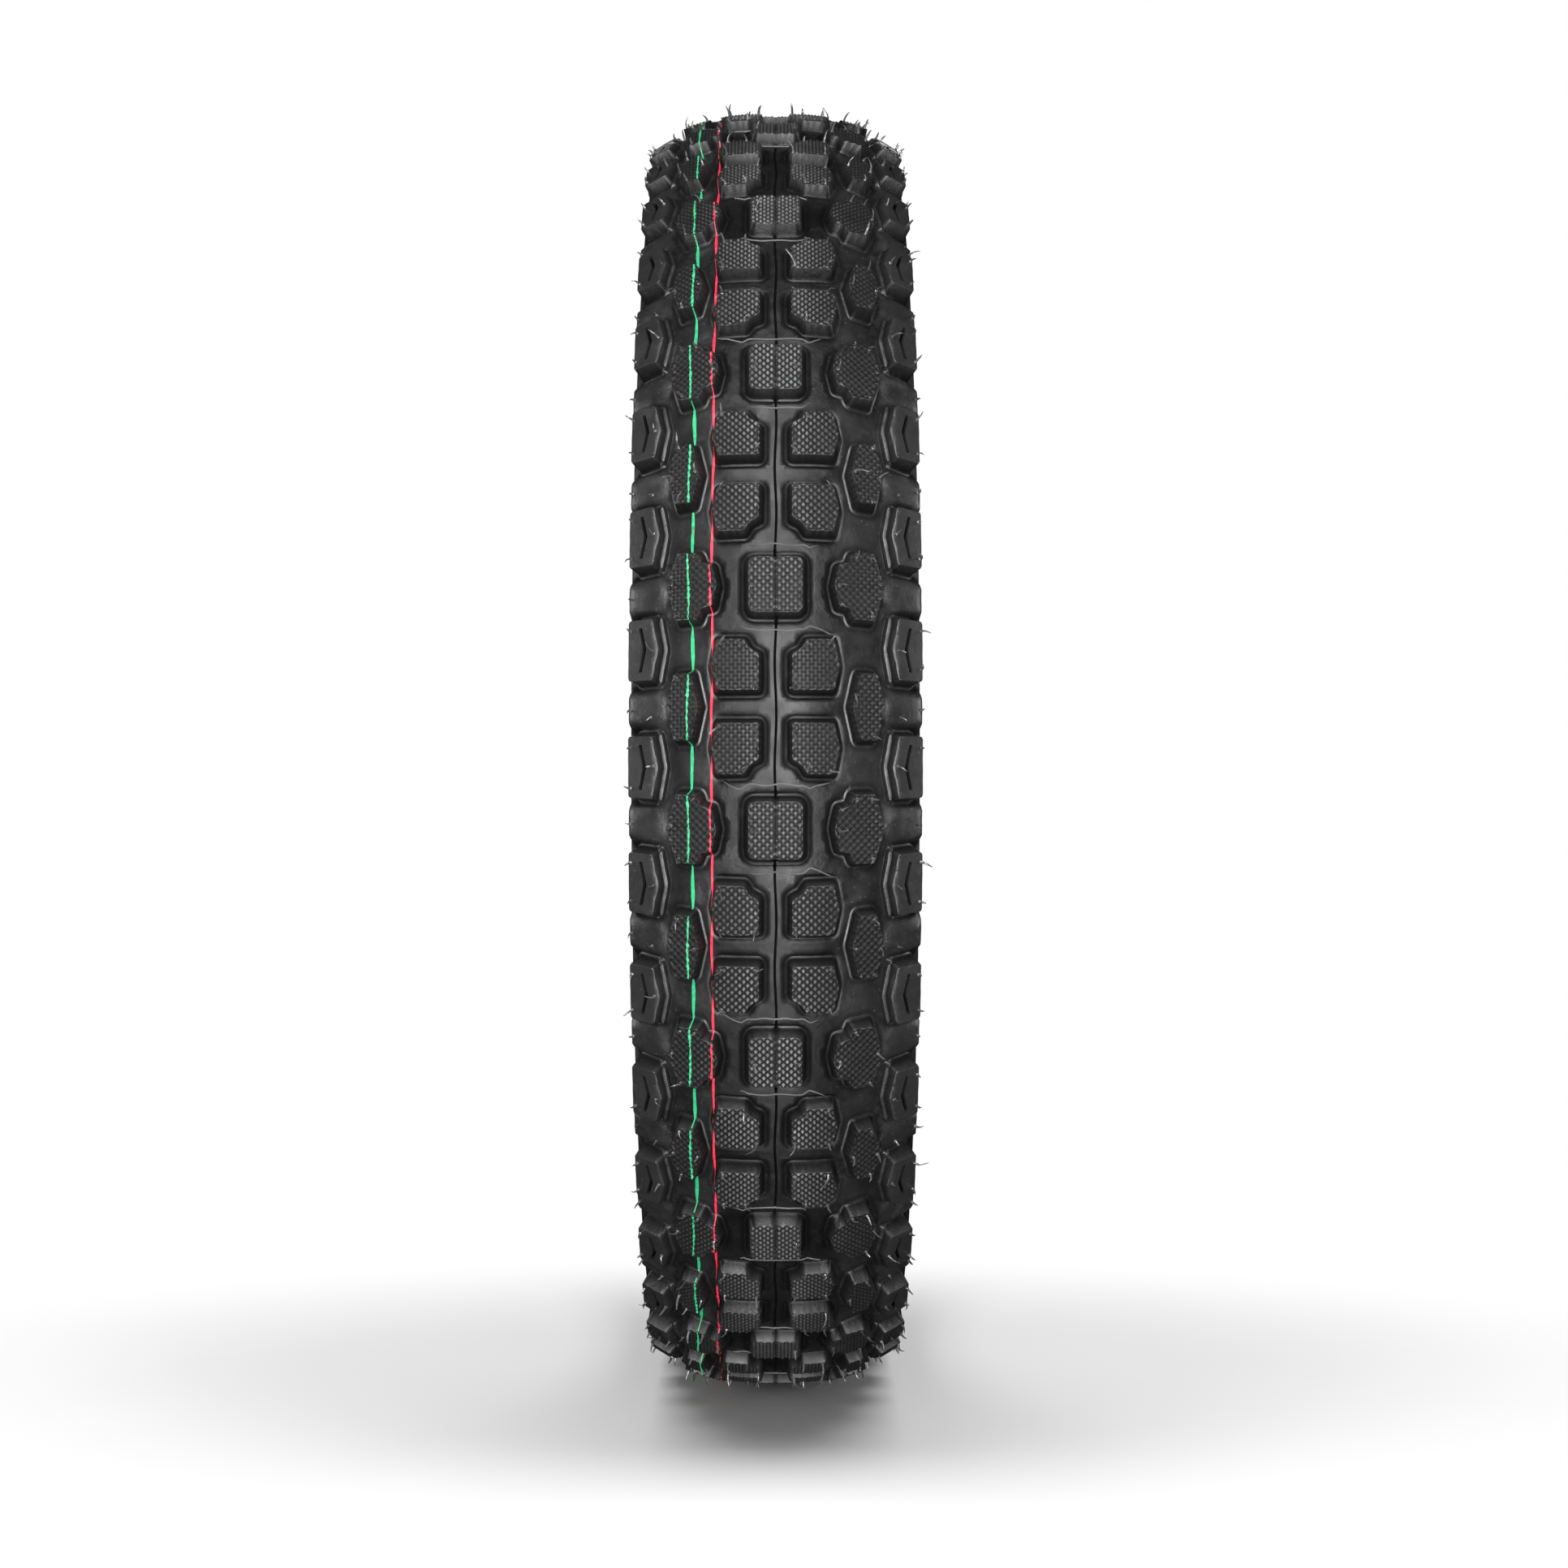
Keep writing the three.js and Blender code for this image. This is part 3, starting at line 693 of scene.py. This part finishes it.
def ribbon(line, half_width, lift, sink, across=5):
    """Points and faces of a thin closed band laid over the tread along (across, along) points. Its
    width may change from point to point, and a thick band is arched."""
    line, half_width = np.asarray(line, float), np.broadcast_to(half_width, len(line))
    way = np.gradient(line, axis=0)
    way /= np.linalg.norm(way, axis=1, keepdims=True)
    normal = np.stack([way[:, 1], -way[:, 0]], 1)
    spread = np.linspace(-1, 1, across)
    flat = line[:, None, :] + normal[:, None, :] * (half_width[:, None] * spread)[:, :, None]
    q, p = flat[..., 0], flat[..., 1]
    depth = depth_at(q.ravel(), p.ravel())[0].reshape(q.shape)
    arch = lift * (1 - 0.8 * np.abs(spread)) if lift > 0.2 else np.full(across, lift)
    top = on_tire(q, p, depth - arch)
    low = on_tire(q, p, depth + sink)
    rows = np.concatenate([top, low[:, ::-1]], 1)
    size = rows.shape[1]
    grid = np.arange(rows.shape[0] * size).reshape(rows.shape[:2])
    ahead = np.roll(grid, -1, 1)
    faces = np.stack([grid[:-1], ahead[:-1], ahead[1:], grid[1:]], -1).reshape(-1, 4).tolist()
    faces += [grid[0].tolist()[::-1], grid[-1].tolist()]
    return rows.reshape(-1, 3), faces


def joined(parts):
    """Points and faces of several meshes as one."""
    points, faces = [], []
    for own_points, own_faces in parts:
        start = sum(len(p) for p in points)
        points.append(own_points)
        faces += [[start + i for i in face] for face in own_faces]
    return np.concatenate(points), faces


# The line of the flash: how far it is from a centre knob's middle, across and along.
FLASH_LINE = [(0, 18.6), (8, 18.6), (11.6, 18.4), (14.5, 16.6), (17.5, 17.9), (22, 19.6), (27, 20.6)]
FLASH_HALF, FLASH_LIFT, FLASH_SINK = 0.32, 0.45, 0.3


def build_flash(material):
    """Thin raised lines that the mould's joint leaves before and after each centre knob."""
    end = FLASH_LINE[-1][0]
    q = np.concatenate([-np.linspace(end, 0.8, 34), np.linspace(0.8, end, 34)])
    offset = np.interp(np.abs(q), *zip(*FLASH_LINE))
    rng = np.random.default_rng(SEED + 3)
    parts = []
    for k in range(PITCHES):
        for way in (-1, 1):
            wander = rng.uniform(0.15, 0.5) * np.sin(q * rng.uniform(0.3, 0.8) + rng.uniform(0, 6))
            line = np.stack([q, k * PITCH + way * offset + wander], 1)
            line = line[(q > -rng.uniform(9, 28)) & (q < rng.uniform(9, 28))]
            fade = np.interp(np.arange(len(line)), [0, 5, len(line) - 6, len(line) - 1], [0.3, 1, 1, 0.3])
            parts.append(ribbon(line, FLASH_HALF * fade, FLASH_LIFT, FLASH_SINK, across=3))
    make_piece("mould_flash", *joined(parts), material, "tread_rubber")


STRIPE_STEP, STRIPE_THICK = 0.55, 0.12


def build_stripe(name, across, width, material, slot, seed):
    """A painted line round the tread: spindles on the floor, thin on the walls, jagged on knurls."""
    rng = np.random.default_rng(seed)
    p = np.arange(0, PITCHES * PITCH, STRIPE_STEP)
    turn = 2 * math.pi * p / (PITCHES * PITCH)
    q = across + 0.25 * np.sin(turn * 23) + 0.18 * np.sin(turn * 61 + 1)
    _, away, _ = depth_at(q, p)
    flat = np.interp(away, [0, 1.6, 2.4, 7], [0, 0.0, 0.62, 1.0])
    knurled = away < -0.3
    jagged = np.interp(np.arange(len(p)), np.arange(0, len(p), 2), rng.uniform(0.25, 1.0, (len(p) + 1) // 2))
    half = width / 2 * np.where(knurled, 0.75 * jagged, np.maximum(flat, 0.34))
    half *= 1 + 0.12 * np.sin(turn * 97)
    gap = ~knurled & (away < 1.6) & (np.sin(turn * 211) > 0.8)
    q = q + np.where(knurled, rng.uniform(-0.16, 0.16, len(p)), 0)
    parts, start = [], 0
    for i in range(len(p) + 1):
        if i == len(p) or gap[i]:
            if i - start >= 3:
                line = np.stack([q[start:i], p[start:i]], 1)
                parts.append(ribbon(line, half[start:i], STRIPE_THICK, STRIPE_THICK))
            start = i + 1
    make_piece(name, *joined(parts), material, slot, sharp=60)


# ---- Rings: sidewalls, rim strips and the layers inside ----
def section_loop(node):
    """The closed outline, as (Y, Z) in metres, where a CAD ring crosses the plane X = 0 above
    the axle. A ring has points in that plane, so its outline is a chain of its own edges."""
    mesh = NODES[node].data
    places = {}
    for v in mesh.vertices:
        if abs(v.co.x) < 1e-6 and v.co.z > 0:
            places[v.index] = (round(v.co.y, 6), round(v.co.z, 6))
    near = {}
    for edge in mesh.edges:
        a, b = edge.vertices
        if a in places and b in places and places[a] != places[b]:
            near.setdefault(places[a], set()).add(places[b])
            near.setdefault(places[b], set()).add(places[a])
    start = max(near, key=lambda spot: (spot[1], spot[0]))
    loop, before = [start], None
    while True:
        here = loop[-1]
        ways = [spot for spot in sorted(near[here]) if spot != before]
        if not ways or (len(loop) > 2 and start in near[here] and before != start):
            return np.array(loop)
        before = here
        loop.append(ways[0])


def rounded(loop, radius, bits):
    """The closed outline with its corners rounded off by up to a radius, in metres."""
    made = []
    for before, here, after in zip(np.roll(loop, 1, 0), loop, np.roll(loop, -1, 0)):
        back, front = before - here, after - here
        reach = min(radius, 0.35 * np.linalg.norm(back), 0.35 * np.linalg.norm(front))
        a = here + back / np.linalg.norm(back) * reach
        b = here + front / np.linalg.norm(front) * reach
        for t in np.linspace(0, 1, bits):
            made.append((1 - t) ** 2 * a + 2 * t * (1 - t) * here + t**2 * b)
    return np.array(made)


def spun(loop, segments, relief=None):
    """Points and faces of a closed outline turned about the axle. `relief` gives how far each
    point stands out, in metres, from its place on the outline and its angle."""
    ahead, behind = np.roll(loop, -1, 0), np.roll(loop, 1, 0)
    way = ahead - behind
    normal = np.stack([way[:, 1], -way[:, 0]], 1) / np.linalg.norm(way, axis=1, keepdims=True)
    area = np.sum(loop[:, 0] * ahead[:, 1] - ahead[:, 0] * loop[:, 1])
    normal *= 1 if area > 0 else -1
    angle = 2 * math.pi * np.arange(segments) / segments
    y, r = (np.repeat(loop[None, :, i], segments, 0) for i in (0, 1))
    if relief is not None:
        out = relief(y, r, np.repeat(angle[:, None], len(loop), 1))
        y, r = y + out * normal[None, :, 0], r + out * normal[None, :, 1]
    points = np.stack([r * np.sin(angle)[:, None], y, r * np.cos(angle)[:, None]], -1)
    grid = np.arange(segments * len(loop)).reshape(segments, len(loop))
    across, round_ = np.roll(grid, -1, 1), np.roll(grid, -1, 0)
    both = np.roll(across, -1, 0)
    return points.reshape(-1, 3), np.stack([grid, across, both, round_], -1).reshape(-1, 4).tolist()


def curve_through(points, count):
    """A smooth line through points, by Catmull and Rom's rule."""
    padded = np.vstack([2 * points[0] - points[1], points, 2 * points[-1] - points[-2]])
    made = []
    for a, b, c, d in zip(padded, padded[1:], padded[2:], padded[3:]):
        for t in np.linspace(0, 1, count, endpoint=False):
            made.append(0.5 * (2 * b + (c - a) * t + (2 * a - 5 * b + 4 * c - d) * t**2
                               + (3 * b - a - 3 * c + d) * t**3))
    return np.array([*made, points[-1]])


# Segments round the tire.
HIDDEN_SEGMENTS, STRIP_SEGMENTS, LINER_SEGMENTS, SIDEWALL_SEGMENTS = 180, 360, 600, 720
SIDE_RIBS, LINER_RIBS = 360, 150  # fine ribs round the tire
# Name of the CAD part, without its side: (material, slot).
HIDDEN_RINGS = {
    "undertread": (INNER_RUBBER, "inner_rubber"),
    "breaker_outer": (BREAKER_FABRIC, "breaker_fabric"),
    "breaker_inner": (BREAKER_FABRIC, "breaker_fabric"),
    "casing_ply_outer": (PLY_FABRIC, "ply_fabric"),
    "casing_ply_inner": (PLY_FABRIC, "ply_fabric"),
    "shoulder_wedge": (INNER_RUBBER, "inner_rubber"),
    "bead_bundle": (BEAD_WIRE, "bead_steel"),
    "bead_filler": (INNER_RUBBER, "inner_rubber"),
    "bead_wrap": (CHAFER_FABRIC, "chafer_fabric"),
}


def build_hidden_rings():
    """The layers and the bead parts that the tread, the sidewalls and the liner cover."""
    for stem, (material, slot) in HIDDEN_RINGS.items():
        for node in (stem,) if stem in NODES else (f"{stem}_left", f"{stem}_right"):
            loop = rounded(section_loop(node), 0.0003, 2)
            piece = make_piece(f"{node}_ring", *spun(loop, HIDDEN_SEGMENTS), material, slot)
            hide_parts(node)


# Raised rings on a sidewall: (radius, half of the width, height).
SIDE_RINGS = [(284.5, 0.7, 0.45), (281.5, 0.7, 0.45), (246.5, 0.6, 0.5), (241.5, 0.9, 0.8)]


def sidewall_relief(y, r, angle):
    """Plain raised rings and fine ribs on the outside of a sidewall."""
    r, out = r / MM, np.zeros(r.shape)
    outer_face = np.abs(y / MM) > np.interp(r, [236, 250, 262, 290], [42.5, 49.5, 56.3, 58.2])
    for centre, half, height in SIDE_RINGS:
        out += height * np.clip(1.6 - np.abs(r - centre) / half, 0, 1)
    ribs = np.clip(1.5 * np.cos(angle * SIDE_RIBS), 0, 1)
    ribs *= np.clip(np.minimum(r - 272, 279.5 - r) / 0.8, 0, 1)
    return (out + 0.3 * ribs) * outer_face * MM


def build_sidewall(side_name, side):
    """A sidewall, with its outer face drawn as a smooth curve from the crest to the foot."""
    loop = section_loop(f"sidewall_{side_name}")
    crest = np.argmax(loop[:, 0] * side)
    foot = np.argmin(loop[:, 1])
    loop = np.roll(loop, -crest, 0)
    foot = (foot - crest) % len(loop)
    if foot > len(loop) / 2:
        loop = np.roll(loop[::-1], 1, 0)
        foot = len(loop) - foot
    outer = curve_through(loop[: foot + 1], 16)
    inner = loop[foot + 1 :]
    whole = spun(np.vstack([outer, inner]), SIDEWALL_SEGMENTS, sidewall_relief)
    piece = make_piece(f"sidewall_{side_name}_skin", *whole, SIDE_RUBBER, "sidewall_rubber")
    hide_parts(f"sidewall_{side_name}")


def build_liner():
    """The liner, with fine ribs on the face towards the air."""
    loop = rounded(section_loop("inner_liner"), 0.0012, 3)

    def relief(y, r, angle):
        inside = r / MM < np.interp(np.abs(y) / MM, [0, 30, 45, 55], [304.5, 302, 292, 262])
        return 0.25 * MM * inside * np.clip(np.cos(angle * LINER_RIBS) * 2, 0, 1)

    whole = spun(loop, LINER_SEGMENTS, relief)
    piece = make_piece("inner_liner_skin", *whole, LINER_RUBBER, "liner_rubber")
    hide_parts("inner_liner")


def build_rim_strips():
    """The fabric strips that rest on the rim."""
    for side in ("left", "right"):
        loop = rounded(section_loop(f"chafer_{side}"), 0.0009, 4)
        whole = spun(loop, STRIP_SEGMENTS)
        piece = make_piece(f"rim_strip_{side}", *whole, CHAFER_FABRIC, "chafer_fabric")
        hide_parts(f"chafer_{side}")


# ---- Stage: floor, light and camera ----
FLOOR_HALF = 45.0  # metres
PALE_END, WHITE_START = 0.4, 0.66  # metres from the tire, to its left and right
FLOOR_SQUEEZE, FLOOR_SHIFT = (1.5, 1, 1), (-0.09, 0, 0)  # bring both nearer, most of all behind it


def build_stage():
    """The floor, the studio round it and the lamps."""
    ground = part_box("tread_cap")[0].z
    floor_mesh = bpy.data.meshes.new("floor")
    corners = [(x * FLOOR_HALF, y * FLOOR_HALF, ground) for x, y in ((-1, -1), (1, -1), (1, 1), (-1, 1))]
    floor_mesh.from_pydata(corners, [], [(0, 1, 2, 3)])
    floor = bpy.data.objects.new("floor", floor_mesh)
    n = Nodes("floor_pale")
    pale = n.finish(n.blend(n.spread(n.noise(3), 0.4, 0.6, 0, 1), tone(0.86), tone(0.88)), 0.7,
                    n.bump(n.noise(40), 0.0002, 0.1), specular=0.2)
    # Far from the tire, and soonest behind it, the floor turns to plain white: it has no horizon.
    n.tree.nodes.remove(n.tree.nodes["Material Output"])
    ahead = n.add("ShaderNodeMapping", {"Vector": n.place, "Location": FLOOR_SHIFT,
                                        "Scale": FLOOR_SQUEEZE}).outputs[0]
    away = n.add("ShaderNodeVectorMath", {0: ahead}, operation="LENGTH").outputs["Value"]
    glow = n.add("ShaderNodeEmission", {"Color": (1, 1, 1, 1), "Strength": 1.0}).outputs[0]
    ends = {"Value": away, "From Min": PALE_END, "From Max": WHITE_START}
    share = n.add("ShaderNodeMapRange", ends, interpolation_type="SMOOTHSTEP").outputs["Result"]
    mixed = n.add("ShaderNodeMixShader", {0: share, 1: n.shader.outputs[0], 2: glow})
    n.add("ShaderNodeOutputMaterial", {"Surface": mixed.outputs[0]})
    floor_mesh.materials.append(pale)
    bpy.context.scene.collection.objects.link(floor)
    # The floor is seen and shaded, but throws no light up into the tread.
    floor.visible_diffuse = floor.visible_glossy = False
    build_world()
    lit, unlit = (bpy.data.collections.new(name) for name in ("lit_floor", "all_but_the_floor"))
    lit.objects.link(floor)
    unlit.objects.link(floor)
    unlit.collection_objects[0].light_linking.link_state = "EXCLUDE"
    for name, (azimuth, elevation), away, size, power, only_floor in LAMPS:
        data = bpy.data.lights.new(name, "AREA")
        data.shape, (data.size, data.size_y), data.energy = "RECTANGLE", size, power
        lamp = bpy.data.objects.new(name, data)
        around, up = math.radians(azimuth), math.radians(elevation)
        level = math.cos(up)
        place = away * Vector((level * math.cos(around), level * math.sin(around), math.sin(up)))
        lamp.location = place
        lamp.rotation_euler = (-place).to_track_quat("-Z", "Y").to_euler()
        lamp.light_linking.receiver_collection = lit if only_floor else unlit
        if not only_floor:
            lamp.light_linking.blocker_collection = unlit
        bpy.context.scene.collection.objects.link(lamp)
    bpy.context.scene.view_settings.view_transform = "Standard"


# name; azimuth from the front and elevation, degrees; metres away; width and height; watts; whether
# it lights the floor only.
LAMPS = [
    ("front_softbox", (-2, 1), 2.2, (0.5, 2.3), 76, False),
    ("upper_softbox", (-3, 46), 2.2, (0.6, 1.2), 30, False),
    ("lower_softbox", (-3, -46), 2.2, (0.6, 1.2), 12, False),
    ("left_softbox", (-92, 8), 2.2, (1.3, 1.4), 24, False),
    ("right_softbox", (92, 8), 2.2, (1.3, 1.4), 19, False),
    ("back_softbox", (180, 5), 2.2, (0.7, 2.2), 28, False),
    ("overhead_panel", (0, 62), 2.6, (3.4, 1.3), 108, True),
]


def build_world():
    """A studio that is white near the horizon, dim overhead and dark below."""
    world = bpy.data.worlds.new("studio")
    bpy.context.scene.world = world
    world.use_nodes = True
    tree = world.node_tree
    way = tree.nodes.new("ShaderNodeTexCoord")
    height = tree.nodes.new("ShaderNodeSeparateXYZ")
    ramp = tree.nodes.new("ShaderNodeValToRGB")
    tree.links.new(way.outputs["Generated"], height.inputs[0])
    scaled = tree.nodes.new("ShaderNodeMapRange")
    scaled.inputs["From Min"].default_value = -1.0
    tree.links.new(height.outputs["Z"], scaled.inputs["Value"])
    tree.links.new(scaled.outputs["Result"], ramp.inputs[0])
    stops = [(0.0, 0.02), (0.45, 0.03), (0.485, 1.0), (0.66, 1.0), (0.76, 0.1), (1.0, 0.1)]
    for at, _ in stops[1:-1]:
        ramp.color_ramp.elements.new(at)
    for element, (_, level) in zip(ramp.color_ramp.elements, stops):
        element.color = (level, level, level, 1)
    tree.links.new(ramp.outputs[0], tree.nodes["Background"].inputs[0])
    world.cycles_visibility.glossy = False


CAMERA_AWAY = 4.508  # from the axle, in outer radii


def build_camera():
    """In front of the tread at axle height, level, a little over two diameters away."""
    data = bpy.data.cameras.new("front_camera")
    data.sensor_width, data.lens = 36.0, 64.105
    data.shift_x, data.shift_y = 0.0054, -0.0224
    data.clip_start, data.clip_end = 0.05, 100
    camera = bpy.data.objects.new("front_camera", data)
    camera.location = (CAMERA_AWAY * OUTER_RADIUS * MM, 0, 0)
    camera.rotation_euler = (math.radians(90), 0, math.radians(90))
    bpy.context.scene.collection.objects.link(camera)
    bpy.context.scene.camera = camera


build_camera()
build_stage()
build_tread(TREAD_RUBBER)
build_hairs(SPEW_RUBBER)
build_flash(FLASH_RUBBER)
build_stripe("paint_stripe_green", -36.6, 1.6, GREEN_PAINT, "paint_green", SEED + 1)
build_stripe("paint_stripe_red", -27.3, 1.3, RED_PAINT, "paint_red", SEED + 2)
build_hidden_rings()
build_sidewall("left", -1)
build_sidewall("right", 1)
build_liner()
build_rim_strips()
